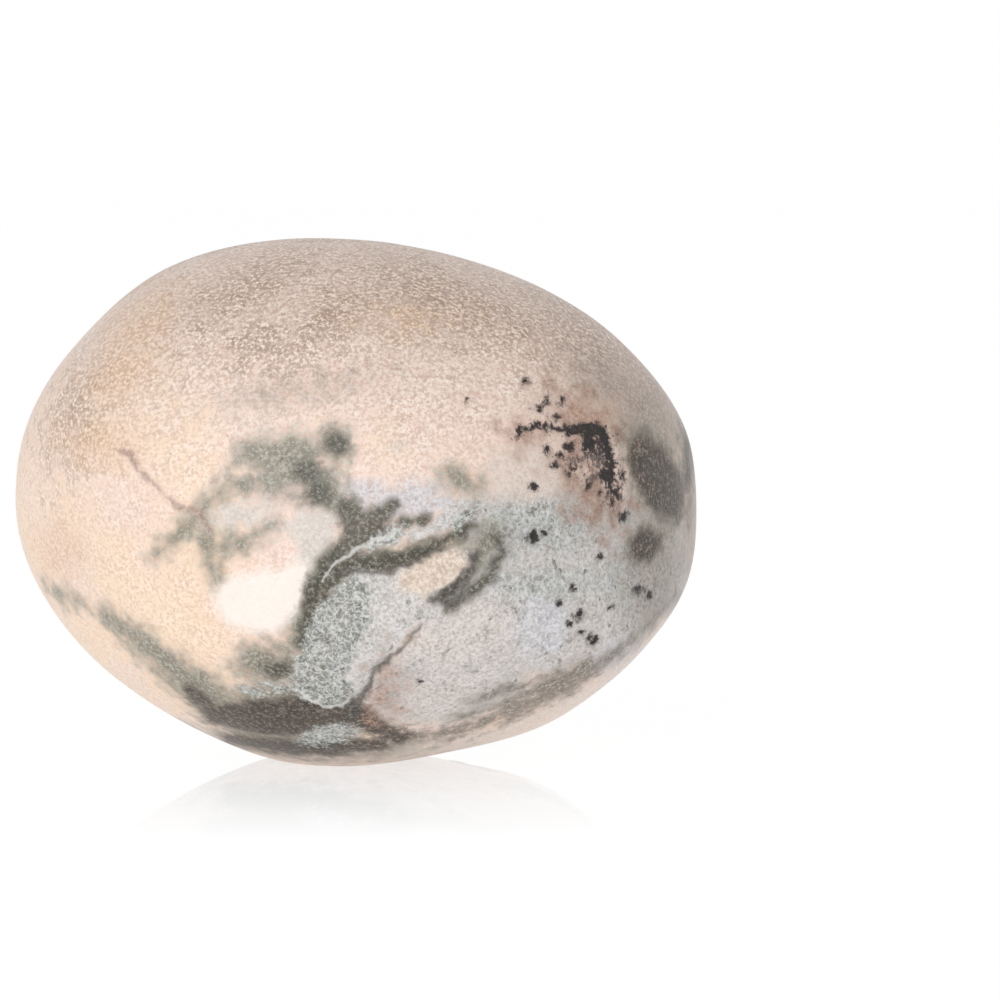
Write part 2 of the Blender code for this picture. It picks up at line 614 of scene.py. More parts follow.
        Lens(9.3, 13.6, 1.0, 0.8),
        Lens(9.9, 13.0, 0.7, 0.8),
        Lens(10.8, 12.2, 0.7, 1.3, -20),
        Lens(8.1, 16.0, 0.9, 0.6),
        Streak(((6.9, 14.7, 0.2), (7.0, 15.1, 0.25), (8.1, 15.2, 0.25), (9.0, 14.9, 0.35))),
    ),
    Zone.SOOT: (
        # The dense crescent and its arm to the left.
        Streak((
            (8.9, 14.9, 0.13), (9.7, 15.0, 0.25), (10.4, 14.8, 0.3), (10.7, 14.1, 0.3), (10.8, 13.4, 0.2),
        )),
        Streak(((10.7, 12.6, 0.2), (11.1, 12.1, 0.1))),
        Streak(((6.7, 14.7, 0.08), (6.9, 15.1, 0.1), (7.7, 15.2, 0.11), (8.2, 15.1, 0.1), (8.9, 14.9, 0.13))),
        Lens(9.9, 14.4, 0.4, 0.4),
        Lens(10.6, 12.9, 0.4, 0.4),
        Lens(11.3, 12.9, 0.13, 0.17),
        # Lone grains above and left of it.
        *dots(
            (7.2, 17.0, 0.18), (8.0, 16.2, 0.14), (8.7, 16.2, 0.14), (8.4, 15.5, 0.16), (7.7, 15.9, 0.12),
            (8.9, 14.3, 0.24), (8.6, 14.0, 0.14), (8.0, 14.2, 0.17), (8.3, 13.5, 0.14), (7.4, 12.7, 0.1),
            (4.6, 16.4, 0.12), (9.1, 13.3, 0.14),
        ),
        # Lone grains below it.
        *dots((11.4, 11.2, 0.23), (10.8, 11.8, 0.14), (10.3, 12.2, 0.14), (9.8, 12.6, 0.14)),
        # Lone grains in the grey field.
        *dots(
            (7.4, 10.6, 0.19), (7.9, 10.7, 0.14), (10.3, 9.5, 0.14), (9.1, 8.3, 0.13), (8.5, 7.8, 0.19),
            (9.4, 7.2, 0.24), (9.0, 6.8, 0.14), (9.5, 6.4, 0.13), (10.0, 6.0, 0.26), (10.8, 7.4, 0.17),
            (12.0, 8.0, 0.2), (12.5, 7.7, 0.13), (2.6, 4.4, 0.11),
        ),
    ),
}


@dataclass(frozen=True)
class Tone:
    """How one kind of rock looks, and how its edge runs into its neighbours.

    Args:
        ground: Its main colour.
        dark: Colour of its dark grains.
        light: Colour of its light grains.
        darks: Strength of its dark grains.
        lights: Strength of its light grains.
        soft: Width over which its edge fades, in millimetres.
        ragged: How far grains break up the edge: 0 leaves it clean.
        patchy: How far it thins out in patches: 0 leaves it even.
        cover: How well it hides what is under it, 0 to 1.
        web: Strength of a net of healed cracks in it.
        swirls: Strength of white swirling threads in it.
        specks: Strength of lone dark specks in it.
        spread: How far it reaches beyond its marks, as a share of its soft width.
    """

    ground: Colour
    dark: Colour
    light: Colour
    darks: float = 0.6
    lights: float = 0.5
    soft: float = 0.6
    ragged: float = 0.3
    patchy: float = 0.5
    cover: float = 1.0
    web: float = 0.0
    swirls: float = 0.0
    specks: float = 0.0
    spread: float = 0.6


TONES: dict[Zone, Tone] = {
    Zone.SANDY: Tone(
        shade(190, 166, 149), shade(108, 87, 73), shade(250, 231, 216),
        darks=0.9, lights=1.0, soft=1.8, ragged=0.5, patchy=1.2, cover=0.85,
    ),
    Zone.OCHRE: Tone(
        shade(226, 192, 160), shade(176, 138, 104), shade(246, 220, 192),
        darks=0.7, soft=1.2, ragged=0.4, patchy=1.0, cover=0.5,
    ),
    Zone.GREY: Tone(
        shade(203, 197, 193), shade(118, 112, 104), shade(230, 225, 222),
        soft=0.9, ragged=0.4, web=0.2, swirls=0.3, specks=0.9,
    ),
    Zone.MIST: Tone(
        shade(184, 185, 182), shade(90, 92, 86), shade(220, 222, 220),
        darks=0.9, lights=0.7, soft=0.9, ragged=0.6, patchy=0.9, cover=0.9, web=0.4, swirls=0.6, specks=0.8,
    ),
    Zone.LILAC: Tone(
        shade(203, 201, 204), shade(132, 128, 132), shade(232, 231, 235),
        darks=0.7, lights=0.6, soft=0.7, ragged=0.4, patchy=0.7, cover=0.85, web=0.2, swirls=0.5, specks=0.6,
    ),
    Zone.BLUSH: Tone(
        shade(210, 201, 196), shade(132, 118, 108), shade(238, 228, 222),
        soft=0.9, ragged=0.4, patchy=1.0, cover=0.8, swirls=0.3, specks=0.9,
    ),
    # A soft brown-grey, used for the painted shade and for the thin brown veil.
    Zone.VEIL_AND_SHADE: Tone(
        shade(160, 147, 137), shade(104, 94, 84), shade(190, 180, 170),
        soft=1.4, ragged=0.4, patchy=0.8, cover=0.7,
    ),
    Zone.CLOUD: Tone(
        shade(147, 143, 129), shade(82, 79, 66), shade(208, 202, 190),
        darks=0.9, soft=0.8, ragged=0.6, patchy=0.8, cover=0.95, web=0.4,
    ),
    Zone.MILK: Tone(
        shade(213, 204, 196), shade(178, 167, 156), shade(238, 231, 223),
        darks=0.5, lights=0.4, soft=0.5, ragged=0.2, cover=0.95,
    ),
    Zone.CREAM: Tone(
        shade(248, 237, 229), shade(236, 222, 210), shade(252, 245, 238),
        darks=0.3, lights=0.2, ragged=0.1, patchy=0.4, cover=0.95,
    ),
    Zone.BEVEL: Tone(
        shade(222, 207, 197), shade(172, 154, 140), shade(238, 226, 218),
        darks=0.4, lights=0.4, ragged=0.2, cover=0.85,
    ),
    Zone.RIDGE: Tone(
        shade(124, 115, 104), shade(72, 66, 57), shade(192, 184, 174),
        darks=0.9, lights=0.6, soft=0.5, ragged=0.8, patchy=1.1, cover=0.9, web=0.3,
    ),
    Zone.BAND: Tone(
        shade(84, 81, 69), shade(42, 42, 34), shade(158, 154, 142),
        darks=0.8, lights=0.7, soft=0.4, ragged=0.5, cover=0.95, web=0.3,
    ),
    Zone.UMBER: Tone(
        shade(66, 56, 46), shade(40, 34, 28), shade(152, 141, 129),
        darks=0.7, lights=0.6, soft=0.4, ragged=0.5, cover=0.95, web=0.3,
    ),
    Zone.PALE: Tone(
        shade(202, 198, 195), shade(104, 102, 96), shade(234, 232, 231),
        darks=0.5, lights=0.6, soft=0.25, ragged=0.4, patchy=0.4, cover=0.95, web=0.3, swirls=0.5, specks=0.7,
    ),
    Zone.FROST: Tone(
        shade(166, 167, 162), shade(88, 90, 83), shade(226, 227, 225),
        darks=0.9, lights=0.7, soft=0.25, ragged=0.5, cover=0.95, web=0.8, swirls=0.6, specks=1.0,
    ),
    Zone.TAN: Tone(
        shade(220, 203, 188), shade(170, 146, 124), shade(242, 230, 218),
        lights=0.6, soft=0.25, ragged=0.4, patchy=0.3,
    ),
    Zone.RUST: Tone(
        shade(164, 126, 106), shade(84, 54, 40), shade(220, 188, 170),
        darks=0.9, lights=0.4, soft=1.2, ragged=0.7, patchy=1.4, cover=0.7,
    ),
    Zone.VEIN: Tone(
        shade(208, 207, 203), shade(170, 168, 162), shade(232, 231, 228),
        darks=0.4, lights=0.4, soft=0.1, ragged=0.2, patchy=0.3, cover=0.8,
    ),
    Zone.THREAD: Tone(
        shade(168, 142, 132), shade(112, 90, 86), shade(200, 178, 170),
        darks=0.9, soft=0.2, ragged=0.9, patchy=1.4, cover=0.8,
    ),
    Zone.CRACK: Tone(
        shade(84, 79, 73), shade(50, 47, 45), shade(140, 134, 126),
        darks=0.9, lights=0.6, soft=0.2, ragged=0.5, patchy=0.6, cover=0.85,
    ),
    Zone.PEPPER: Tone(
        shade(34, 20, 17), shade(12, 7, 7), shade(214, 200, 192),
        darks=0.8, lights=0.3, ragged=2.4, patchy=1.0, spread=-0.6,
    ),
    Zone.SOOT: Tone(
        shade(18, 10, 9), shade(7, 5, 5), shade(120, 96, 88),
        darks=0.8, lights=0.2, soft=0.18, ragged=1.1, patchy=1.0,
    ),
}

# The order in which the rock grew, oldest first, with the painted shade among them: a later kind covers an
# earlier one.
GROWTH = (
    Zone.SANDY, Zone.OCHRE, Zone.GREY, Zone.MIST, Zone.LILAC, Zone.BLUSH, Zone.VEIL_AND_SHADE, Zone.BEVEL,
    Zone.CLOUD, Zone.MILK, Zone.CREAM, Zone.RIDGE, Zone.BAND, Zone.UMBER, Zone.PALE, Zone.FROST,
    Zone.TAN, Zone.RUST, Zone.VEIN, Zone.THREAD, Zone.CRACK, Zone.PEPPER, Zone.SOOT,
)

# Kinds of rock whose marks are too fine to be bent by the broad swirl of the rock.
FINE_MARKS = (
    Zone.MILK, Zone.CREAM, Zone.RIDGE, Zone.BAND, Zone.UMBER, Zone.PALE, Zone.FROST, Zone.TAN,
    Zone.VEIN, Zone.THREAD, Zone.CRACK, Zone.PEPPER, Zone.SOOT,
)


class Broad(Enum):
    """The broad noises that lay out the hidden rock: each one's offset, in millimetres, and grain."""

    DRIFT = ((0.0, 0.0, 0.0), Grain(0.2, 3.0, 0.55))
    CLOUDY = ((60.0, -35.0, 20.0), Grain(0.17, 3.0, 0.55))
    MILKY = ((-25.0, 50.0, 70.0), Grain(0.21, 3.0, 0.55))


# Where each kind of rock lies behind the front: as deep as the least of its ramps and ridges says.
HIDDEN: dict[Zone, tuple[tuple[Broad, Union[Ramp, Ridge]], ...]] = {
    Zone.OCHRE: ((Broad.MILKY, Ramp(0.6, 9.0)),),
    Zone.GREY: ((Broad.DRIFT, Ramp(0.55, 18.0)),),
    Zone.MIST: ((Broad.DRIFT, Ramp(0.6, 16.0)), (Broad.CLOUDY, Ramp(0.45, 20.0))),
    Zone.CLOUD: ((Broad.CLOUDY, Ramp(0.6, 14.0)),),
    Zone.CREAM: ((Broad.CLOUDY, Ramp(0.4, -15.0)),),
    Zone.BAND: ((Broad.CLOUDY, Ridge(0.57, 0.5, 16.0)), (Broad.MILKY, Ramp(0.52, 14.0))),
    Zone.FROST: ((Broad.DRIFT, Ridge(0.58, 0.6, 16.0)), (Broad.MILKY, Ramp(0.55, 14.0))),
    Zone.RUST: ((Broad.MILKY, Ramp(0.64, 12.0)),),
}

# Kinds of rock that thin out towards the stone's top behind the front.
LOW_ROCKS = (Zone.GREY, Zone.CLOUD)


class RockPattern:
    """The rock inside the stone, readable at any place in it.

    The same pattern is built in the material's tree and in the relief's tree, so that a crack
    is dark where it is deep.
    """

    # How the front's marks thin out towards the back, and the hidden rock towards the front.
    BEHIND = Ramp(1.0, 1 / 3.0)
    AHEAD = Ramp(2.0, -0.7)

    # The small and the large swirl that bend the marks, and how far in millimetres.
    SMALL_SWIRL = Grain(1.9, 3.0)
    LARGE_SWIRL = Grain(0.45)
    SWIRL_REACH = 0.3

    # The noises inside the rock.
    GRIT = Grain(6.0, 2.0, 0.75)
    WISP = Grain(3.2, 1.0)
    MOTTLE = Grain(1.3, 3.0, 0.6)
    SPECKS = Grain(2.3, 1.0, 0.4)
    SEAMS = Grain(1.1, 2.0, 0.6)

    # Where grains and threads show in those noises.
    UNEVEN = Ramp(0.2206, 3.4)
    HOLLOW = Ramp(0.53, -7.0)
    BLOTCH = Ramp(0.46, -6.0)
    SPECK = Ramp(0.34, -16.0)
    LINE = Ridge(0.5, 1.0, 14.0)
    WEB = Ridge(0.5, 1.0, 16.0)

    # Dark grains fade where the rock is uneven; light ones are threads and grit.
    HOLLOW_MOST = 1.15
    HOLLOW_LOSS = 0.6
    FLECK_LINE = 0.4
    FLECK_GRIT = 6

    # How strongly grit and mottle break up the edge of a kind of rock.
    EDGE_GRIT = 3
    EDGE_MOTTLE = 2.5

    # The hidden rock near the top, and the black grains in it, in millimetres.
    TOP = Ramp(14.0, 0.3)
    SANDY_TOP = Ramp(17.5, 0.5)
    SANDY_PATCHES = Ramp(0.5, 9.0)
    SOOT_PER_MM = 0.42
    SOOT_RADIUS = 0.26
    SOOT_PATCHES = Ramp(0.47, -8.0)

    def __init__(self, bench: NodeBench, place: Signal) -> None:
        """Lay out what every kind of rock shares.

        Args:
            bench: The bench that adds the nodes.
            place: The place to read, in metres.
        """
        self.bench = bench
        self.place = bench.vector("SCALE", place, 1 / MM)
        self.fine = bench.stray(self.place, self.SMALL_SWIRL, self.SWIRL_REACH)
        self.bent = bench.stray(self.fine, self.LARGE_SWIRL, self.SWIRL_REACH)
        self.grit = bench.noise(self.place, self.GRIT)
        wisp = bench.noise(self.fine, self.WISP)
        self.mottle = bench.noise(self.place, self.MOTTLE)
        self.broad: dict[Broad, Signal] = {}
        for broad in Broad:
            offset, grain = broad.value
            self.broad[broad] = bench.noise(bench.vector("ADD", self.place, offset), grain)
        self.x, self.y, self.z = bench.parts(self.place)
        self.behind = self.BEHIND.of(self.y).above(0.0)
        self.ahead = self.AHEAD.of(self.y).above(0.0)
        uneven = self.UNEVEN.of(self.mottle).held()
        self.hollow = self.HOLLOW.of(self.grit).held() * (self.HOLLOW_MOST - uneven * self.HOLLOW_LOSS)
        self.line = self.LINE.of(wisp).held()
        self.blotch = self.BLOTCH.of(self.mottle).held()
        self.speck = self.SPECK.of(bench.noise(self.fine, self.SPECKS)).held()
        self.web = self.WEB.of(bench.noise(self.fine, self.SEAMS)).held()
        self.fleck = (self.line * self.FLECK_LINE + self.grit.swing() * self.FLECK_GRIT * uneven).held()

    def lens(self, flat: Signal, mark: Lens) -> Signal:
        """Return how deep a place lies inside an oval, in millimetres from its edge."""
        offset = self.bench.vector("SUBTRACT", flat, (mark.x, 0.0, mark.z))
        if mark.turn:
            settings = {"rotation_type": "Y_AXIS"}
            inputs = {"Vector": offset, "Angle": math.radians(mark.turn)}
            offset = self.bench.signal(self.bench.node("ShaderNodeVectorRotate", settings, inputs))
        scaled = self.bench.vector("MULTIPLY", offset, (1 / mark.length, 0.0, 1 / mark.height))
        reach = self.bench.vector("LENGTH", scaled, output="Value")
        narrow = min(mark.length, mark.height)
        return self.bench.maths("MULTIPLY_ADD", reach, -narrow, narrow)

    def streak(self, flat: Signal, mark: Streak) -> Signal:
        """Return how deep a place lies inside a band, in millimetres from its edge."""
        depth: Optional[Signal] = None
        for (x, z, wide), (next_x, next_z, next_wide) in zip(mark.points, mark.points[1:]):
            run = Vector((next_x - x, 0.0, next_z - z))
            offset = self.bench.vector("SUBTRACT", flat, (x, 0.0, z))
            along = self.bench.vector("DOT_PRODUCT", offset, run / run.length_squared, output="Value").held()
            aside = self.bench.vector("SUBTRACT", offset, self.bench.vector("SCALE", run, along))
            width = self.bench.maths("MULTIPLY_ADD", along, next_wide - wide, wide)
            inside = width - self.bench.vector("LENGTH", aside, output="Value")
            depth = inside if depth is None else depth.above(inside)
        return depth

    def depth(self, zone: Zone) -> Signal:
        """Return how deep a place lies inside the front's marks of a kind, in millimetres from their edge."""
        bent = self.fine if zone in FINE_MARKS else self.bent
        flat = self.bench.vector("MULTIPLY", bent, (1.0, 0.0, 1.0))
        found: Optional[Signal] = None
        for mark in MARKS[zone]:
            inside = self.lens(flat, mark) if isinstance(mark, Lens) else self.streak(flat, mark)
            found = inside if found is None else found.above(inside)
        return found - self.behind

    def hidden(self, zone: Zone) -> Optional[Signal]:
        """Return the same depth for the rock behind the front, or None where there is none of the kind."""
        if zone is Zone.SANDY:
            return self.SANDY_TOP.of(self.z) + self.SANDY_PATCHES.of(self.broad[Broad.MILKY])
        if zone is Zone.SOOT:
            spacing = 1 / self.SOOT_PER_MM
            grains = self.SOOT_RADIUS - self.bench.cells(self.fine, self.SOOT_PER_MM) * spacing
            return grains.below(self.SOOT_PATCHES.of(self.broad[Broad.MILKY]))
        found: Optional[Signal] = None
        for broad, shape in HIDDEN.get(zone, ()):
            inside = shape.of(self.broad[broad])
            found = inside if found is None else found.below(inside)
        if zone in LOW_ROCKS:
            found = found - self.TOP.of(self.z).above(0.0)
        return found

    def cover(self, zone: Zone) -> Signal:
        """Return how much of a kind of rock shows at a place, 0 to 1."""
        tone = TONES[zone]
        gritty = self.grit.swing() * (tone.ragged * self.EDGE_GRIT)
        broken = gritty + self.mottle.swing() * (tone.patchy * self.EDGE_MOTTLE)
        depth = self.depth(zone)
        hidden = self.hidden(zone)
        if hidden is not None:
            depth = depth.above(hidden - self.ahead)
        return (depth * (1 / tone.soft) + (broken + tone.spread)).held()


# --------------------------------------------------------------------------- finishes


@dataclass(frozen=True)
class JasperFinish:
    """The tumble-polished rock: its colours, its sheen and its finest roughness.

    Args:
        name: The material's name.
        low: Colour of the plain rock, low in the stone.
        warm: Colour of the plain rock where it is warmest.
        high: Colour of the plain rock near its top.
        right: Colour of the plain rock high on its right.
        dark_grain: Colour of the plain rock's dark grains.
        light_grain: Colour of its light grains.
        warm_left: How the rock grows warmer towards the left.
        warm_drift: How it grows warmer with the broad drift.
        warm_share: How much of the warmth the left end has without the drift.
        upwards: How the rock turns from low to high.
        rightwards: How it turns to the colour of the right, along the stone.
        right_rise: How it does so upwards.
        coarse: Strength of the grains low in the stone.
        coarse_rise: What the top adds to it.
        coarse_mottle: How far it changes from place to place.
        blotch: Strength of the broad dark blotches inside a kind of rock.
        sheen: Roughness of the polished rock.
        dull: How far the roughness changes with the grit.
        grain_relief: Height of the finest unevenness, in millimetres.
        grain_strength: How strongly that unevenness tilts the shine.
        index: Refractive index of quartz.
        shine: Strength of the polish's reflection.
    """

    name: str = "polished_jasper"
    low: Colour = shade(240, 215, 202)
    warm: Colour = shade(243, 216, 191)
    high: Colour = shade(226, 203, 190)
    right: Colour = shade(204, 184, 172)
    dark_grain: Colour = shade(166, 136, 116)
    light_grain: Colour = shade(252, 240, 230)
    warm_left: Ramp = Ramp(1.0, -1 / 9.0)
    warm_drift: Ramp = Ramp(0.48, 4.0)
    warm_share: float = 0.7
    upwards: Ramp = Ramp(12.5, 1 / 7.0)
    rightwards: Ramp = Ramp(6.0, 1 / 5.0)
    right_rise: Ramp = Ramp(11.0, 1 / 4.0)
    coarse: float = 0.42
    coarse_rise: float = 0.35
    coarse_mottle: float = 1.3
    blotch: float = 0.45
    sheen: float = 0.42
    dull: float = 0.25
    grain_relief: float = 0.01
    grain_strength: float = 0.6
    index: float = 1.54
    shine: float = 0.35

    def rock(self, bench: NodeBench, pattern: RockPattern, zone: Zone) -> Signal:
        """Return one kind of rock's colour with its own grains."""
        tone = TONES[zone]
        darks = (pattern.hollow + pattern.blotch * self.blotch).below(1.0) * tone.darks
        if tone.web:
            darks = darks.above(pattern.web * tone.web)
        if tone.specks:
            darks = darks.above(pattern.speck * tone.specks)
        colour = bench.mix(darks, tone.ground, tone.dark)
        lights = pattern.fleck * tone.lights
        if tone.swirls:
            lights = lights.above(pattern.line * tone.swirls)
        return bench.mix(lights, colour, tone.light)

    def plain(self, bench: NodeBench, pattern: RockPattern) -> Signal:
        """Return the colour of the plain rock between the inclusions."""
        left = self.warm_left.of(pattern.x).held()
        warmth = (self.warm_drift.of(pattern.broad[Broad.DRIFT]) + left * self.warm_share).held()
        height = (self.upwards.of(pattern.z) + pattern.mottle.swing()).held()
        aside = self.rightwards.of(pattern.x).held() * self.right_rise.of(pattern.z).held()
        ground = bench.mix(warmth, self.low, self.warm)
        ground = bench.mix(height, ground, self.high)
        ground = bench.mix(aside, ground, self.right)
        mottled = pattern.mottle.swing() * self.coarse_mottle
        coarse = (height * self.coarse_rise + self.coarse + mottled).held()
        ground = bench.mix(pattern.hollow * coarse, ground, self.dark_grain)
        return bench.mix(pattern.fleck * coarse, ground, self.light_grain)

    def build(self) -> bpy.types.Material:
        """Make the material.

        Returns:
            The finished material.
        """
        material = bpy.data.materials.new(self.name)
        material.use_nodes = True
        bench = NodeBench(material.node_tree)
        pattern = RockPattern(bench, bench.signal(bench.node("ShaderNodeTexCoord"), "Object"))
        colour = self.plain(bench, pattern)
        for zone in GROWTH:
            share = pattern.cover(zone) * TONES[zone].cover
            colour = bench.mix(share, colour, self.rock(bench, pattern, zone))

        shader = material.node_tree.nodes["Principled BSDF"]
        material.node_tree.links.new(colour.socket, shader.inputs["Base Color"])
        rough = (pattern.grit * self.dull + (self.sheen - self.dull / 2)).held()
        material.node_tree.links.new(rough.socket, shader.inputs["Roughness"])
        relief = {
            "Height": pattern.grit, "Distance": self.grain_relief * MM, "Strength": self.grain_strength,
        }
        bump = bench.node("ShaderNodeBump", inputs=relief)
        material.node_tree.links.new(bump.outputs["Normal"], shader.inputs["Normal"])
        shader.inputs["IOR"].default_value = self.index
        shader.inputs["Specular IOR Level"].default_value = self.shine
        return material


# --------------------------------------------------------------------------- relief


@dataclass(frozen=True)
class WornRelief:
    """The shallow unevenness that tumbling leaves, because soft and cracked rock wears first.

    Args:
        depths: How far each kind of rock lies below the polished skin, in millimetres.
        swell: Depth of the gentle hollows all over the stone, in millimetres.
        swell_grain: How fine they are.
        above_foot: How the relief starts over the resting spot, which stays flat.
    """

    depths: tuple[tuple[Zone, float], ...] = (
        (Zone.CRACK, 0.14),
        (Zone.SOOT, 0.08),
        (Zone.BAND, 0.05),
        (Zone.FROST, 0.03),
        (Zone.RIDGE, 0.03),
        (Zone.THREAD, 0.05),
    )
    swell: float = 0.07
    swell_grain: Grain = Grain(0.3, 1.0, 0.4)
    above_foot: Ramp = Ramp(0.1, 2.0)

    def build(self) -> bpy.types.NodeTree:
        """Make the modifier's tree.

        Returns:
            A geometry tree that sinks the skin by the relief.
        """
        tree = bpy.data.node_groups.new("worn_relief", "GeometryNodeTree")
        tree.interface.new_socket("Geometry", in_out="INPUT", socket_type="NodeSocketGeometry")
        tree.interface.new_socket("Geometry", in_out="OUTPUT", socket_type="NodeSocketGeometry")
        bench = NodeBench(tree)
        skin = bench.signal(bench.node("NodeGroupInput"))
        pattern = RockPattern(bench, bench.signal(bench.node("GeometryNodeInputPosition")))
        sunk = bench.noise(pattern.place, self.swell_grain) * self.swell
        for zone, depth in self.depths:
            sunk = sunk + pattern.cover(zone) * depth
        raised = self.above_foot.of(pattern.z).held()
        normal = bench.signal(bench.node("GeometryNodeInputNormal"))
        offset = bench.vector("SCALE", normal, sunk * raised * -MM)
        moved = bench.node("GeometryNodeSetPosition", inputs={"Geometry": skin, "Offset": offset})
        bench.node("NodeGroupOutput", inputs={0: bench.signal(moved)})
        return tree


# --------------------------------------------------------------------------- the stone


@dataclass
class TumbledStone:
    """The stone itself: one closed skin over the CAD solid's shape.

    Args:
        node: The CAD node that it stands for.
        slot: The record's material slot; not used.
        divisions: Quads along each edge of the starting cube.
        weld: Distance under which the CAD solid's loose corners are joined, in millimetres.
        rounding: How often the CAD solid's facets are subdivided.
        evening: How often the skin is smoothed, half way each time.
        relief: The wear in its skin.
        finish: Its material.
        piece: The skin, once it is made.
    """

    node: str = "tumbled_jasper"
    slot: str = "jasper"
    divisions: int = 101
    weld: float = 0.005
    rounding: int = 2
    evening: int = 6
    relief: WornRelief = field(default_factory=WornRelief)
    finish: JasperFinish = field(default_factory=JasperFinish)
    piece: Optional[bpy.types.Object] = None

    def rough_out(self) -> None:
        """Make an even ball of quads round the solid."""
        low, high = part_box(self.node)
        bpy.ops.object.select_all(action="DESELECT")
        bpy.ops.mesh.primitive_cube_add(size=(high - low).length, location=(low + high) / 2)
        self.piece = bpy.context.object
        self.piece.name = "jasper_skin"
        bpy.ops.object.mode_set(mode="EDIT")
        bpy.ops.mesh.select_all(action="SELECT")
        bpy.ops.mesh.subdivide(number_cuts=self.divisions - 1)
        bpy.ops.object.mode_set(mode="OBJECT")
        self.apply("CAST", cast_type="SPHERE", factor=1.0)

    def apply(self, kind: str, **settings: Any) -> None:
        """Add a modifier to the piece and apply it.

        Args:
            kind: The modifier's type.
            settings: Its properties.
        """
        modifier = self.piece.modifiers.new(kind.lower(), kind)
        for name, value in settings.items():
            setattr(modifier, name, value)
        bpy.context.view_layer.objects.active = self.piece
        bpy.ops.object.modifier_apply(modifier=modifier.name)

    def smooth_guide(self) -> bpy.types.Object:
        """Return a smooth copy of the CAD solid, to wrap the skin on."""
        source = bpy.data.objects[self.node]
        guide = bpy.data.objects.new("guide", source.data.copy())
        bpy.context.scene.collection.objects.link(guide)
        bpy.ops.object.select_all(action="DESELECT")
        guide.select_set(True)
        bpy.context.view_layer.objects.active = guide
        bpy.ops.object.mode_set(mode="EDIT")
        bpy.ops.mesh.select_all(action="SELECT")
        bpy.ops.mesh.remove_doubles(threshold=self.weld * MM)
        bpy.ops.mesh.normals_make_consistent(inside=False)
        bpy.ops.object.mode_set(mode="OBJECT")
        subdivision = guide.modifiers.new("subdivision", "SUBSURF")
        subdivision.levels = self.rounding
        subdivision.render_levels = self.rounding
        bpy.ops.object.modifier_apply(modifier=subdivision.name)
        return guide

    def wear_to_shape(self) -> None:
        """Draw the ball in on the solid's surface, even out the last facets and sink the relief."""
        guide = self.smooth_guide()
        self.apply(
            "SHRINKWRAP", target=guide, wrap_method="PROJECT", use_negative_direction=True,
            use_positive_direction=False,
        )
        bpy.data.objects.remove(guide)
        self.apply("SMOOTH", factor=0.5, iterations=self.evening)
        bpy.ops.object.select_all(action="DESELECT")
        self.piece.select_set(True)
        bpy.ops.object.transform_apply(location=True, rotation=True, scale=True)
        self.apply("NODES", node_group=self.relief.build())

    def dress(self) -> None:
        """Give the skin its material and a smooth shading."""
        self.piece.data.materials.clear()
        self.piece.data.materials.append(self.finish.build())
        bpy.ops.object.select_all(action="DESELECT")
        self.piece.select_set(True)
        bpy.context.view_layer.objects.active = self.piece
        bpy.ops.object.shade_smooth()

    def build(self) -> bpy.types.Object:
        """Make the whole stone.

        Returns:
            The finished piece.
        """
        self.rough_out()
        self.wear_to_shape()
        self.dress()
        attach(self.piece, "root")
        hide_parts(self.node)
        return self.piece


# --------------------------------------------------------------------------- the studio


@dataclass(frozen=True)
class Softbox:
    """A rectangular soft light that looks at the stone.

    Args:
        name: Its name.
        place: Its place, in metres.
        width: Its width, in metres.
        height: Its height, in metres.
        power: Its power, in watts.
    """

    name: str
    place: tuple[float, float, float]
    width: float
    height: float
    power: float

    def build(self, target: Vector) -> bpy.types.Object:
        """Hang the light.

        Args:
            target: The point that it faces.

        Returns:
            The light.
        """
        data = bpy.data.lights.new(self.name, "AREA")
        data.shape = "RECTANGLE"
        data.size = self.width
        data.size_y = self.height
        data.energy = self.power
        light = bpy.data.objects.new(self.name, data)
        light.location = self.place
        light.rotation_euler = (target - Vector(self.place)).to_track_quat("-Z", "Y").to_euler()
        bpy.context.scene.collection.objects.link(light)
        return light


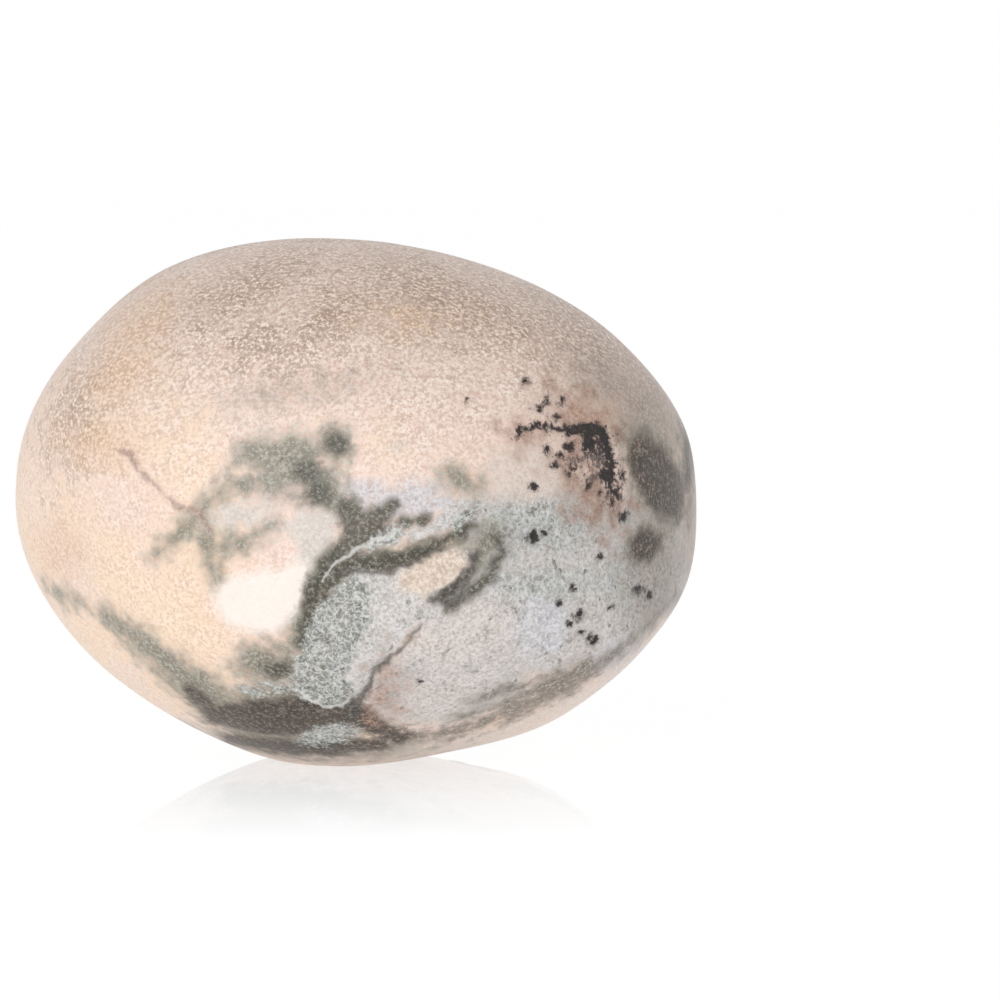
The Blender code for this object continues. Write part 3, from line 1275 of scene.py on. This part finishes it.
@dataclass
class Studio:
    """The plain pale floor, the soft lights and the camera.

    Args:
        floor_size: Width of the floor, in metres.
        white: Colour of the floor's own light, of its mirroring and of the room.
        matt_white: Colour of the floor where only the lights reach it.
        polish: Share of the floor's light that it mirrors right under the stone.
        polish_reach: Distance over which the mirroring fades, in metres.
        blur: Roughness of the mirroring.
        glow: Light that the floor gives of itself.
        shadow: How much of the stone's shadow the floor shows, 0 to 1.
        room: Brightness of the room round the stone.
        lens: The camera's focal length, in millimetres.
        nearest: How close to the camera things still show, in metres.
        distance: From the camera to the stone's middle, in metres.
        rise: Degrees that the camera stands above the stone's middle.
        aside: How far right of the stone's middle the camera aims, in metres.
        below: How far below the stone's middle it aims, in metres.
        softboxes: The lights.
    """

    floor_size: float = 3.0
    white: Colour = (1.0, 1.0, 1.0, 1.0)
    matt_white: Colour = (0.95, 0.95, 0.95, 1.0)
    polish: float = 0.42
    polish_reach: float = 0.028
    blur: float = 0.03
    glow: float = 1.04
    shadow: float = 0.08
    room: float = 0.5
    lens: float = 200.0
    nearest: float = 0.01
    distance: float = 0.2441
    rise: float = 4.0
    aside: float = 0.0063
    below: float = 0.0001
    softboxes: tuple[Softbox, ...] = (
        Softbox("key", (-0.35, -0.75, 0.35), 0.6, 0.6, 3.4),
        Softbox("fill", (0.75, -0.55, 0.25), 0.6, 0.6, 0.4),
    )

    def floor_finish(self) -> bpy.types.Material:
        """Return the white floor's material, softly mirroring round the stone."""
        material = bpy.data.materials.new("pale_floor")
        material.use_nodes = True
        bench = NodeBench(material.node_tree)
        place = bench.signal(bench.node("ShaderNodeTexCoord"), "Object")
        reach = bench.vector("LENGTH", place, output="Value")
        near = (1.0 - reach * (1 / self.polish_reach)).held()
        light = {"Color": self.white, "Strength": self.glow}
        glow = bench.signal(bench.node("ShaderNodeEmission", inputs=light))
        matt = bench.signal(bench.node("ShaderNodeBsdfDiffuse", inputs={"Color": self.matt_white}))
        mirror = {"Color": self.white, "Roughness": self.blur}
        gloss = bench.signal(bench.node("ShaderNodeBsdfGlossy", inputs=mirror))
        lit = bench.signal(bench.node("ShaderNodeMixShader", inputs={0: self.shadow, 1: glow, 2: matt}))
        mixed = bench.node("ShaderNodeMixShader", inputs={0: near * self.polish, 1: lit, 2: gloss})
        output = material.node_tree.nodes["Material Output"]
        material.node_tree.links.new(mixed.outputs[0], output.inputs["Surface"])
        return material

    def lay_floor(self) -> None:
        """Lay the pale floor under the stone."""
        bpy.ops.object.select_all(action="DESELECT")
        bpy.ops.mesh.primitive_plane_add(size=self.floor_size, location=(0.0, 0.0, 0.0))
        floor = bpy.context.object
        floor.name = "pale_floor"
        floor.data.materials.append(self.floor_finish())

    def light(self, target: Vector) -> None:
        """Hang the softboxes and brighten the room, which looks white but lights the stone less.

        Args:
            target: The stone's middle.
        """
        for softbox in self.softboxes:
            softbox.build(target)
        world = bpy.data.worlds.new("pale_room")
        world.use_nodes = True
        bench = NodeBench(world.node_tree)
        path = bench.node("ShaderNodeLightPath")
        seen = bench.signal(path, "Is Camera Ray").above(bench.signal(path, "Is Glossy Ray"))
        background = world.node_tree.nodes["Background"]
        background.inputs["Color"].default_value = self.white
        strength = bench.maths("MULTIPLY_ADD", seen, 1.0 - self.room, self.room)
        world.node_tree.links.new(strength.socket, background.inputs["Strength"])
        bpy.context.scene.world = world
        bpy.context.scene.view_settings.view_transform = "Standard"

    def set_camera(self, target: Vector) -> None:
        """Stand the camera in front of the stone.

        Args:
            target: The stone's middle.
        """
        data = bpy.data.cameras.new("camera")
        data.lens = self.lens
        data.clip_start = self.nearest
        camera = bpy.data.objects.new("camera", data)
        rise = math.radians(self.rise)
        camera.location = target + Vector((0.0, -math.cos(rise), math.sin(rise))) * self.distance
        aim = target + Vector((self.aside, 0.0, -self.below))
        camera.rotation_euler = (aim - camera.location).to_track_quat("-Z", "Y").to_euler()
        bpy.context.scene.collection.objects.link(camera)
        bpy.context.scene.camera = camera

    def build(self, target: Vector) -> None:
        """Set everything up round the stone.

        Args:
            target: The stone's middle.
        """
        self.lay_floor()
        self.light(target)
        self.set_camera(target)


def main() -> None:
    """Build the stone and its studio."""
    logging.basicConfig(level=logging.INFO, format="%(name)s: %(message)s")
    stone = TumbledStone()
    piece = stone.build()
    LOG.info("%s: %d faces, finish %s", piece.name, len(piece.data.polygons), stone.finish.name)
    low, high = CAD_BOX
    Studio().build((low + high) / 2)


if __name__ == "__main__":
    main()
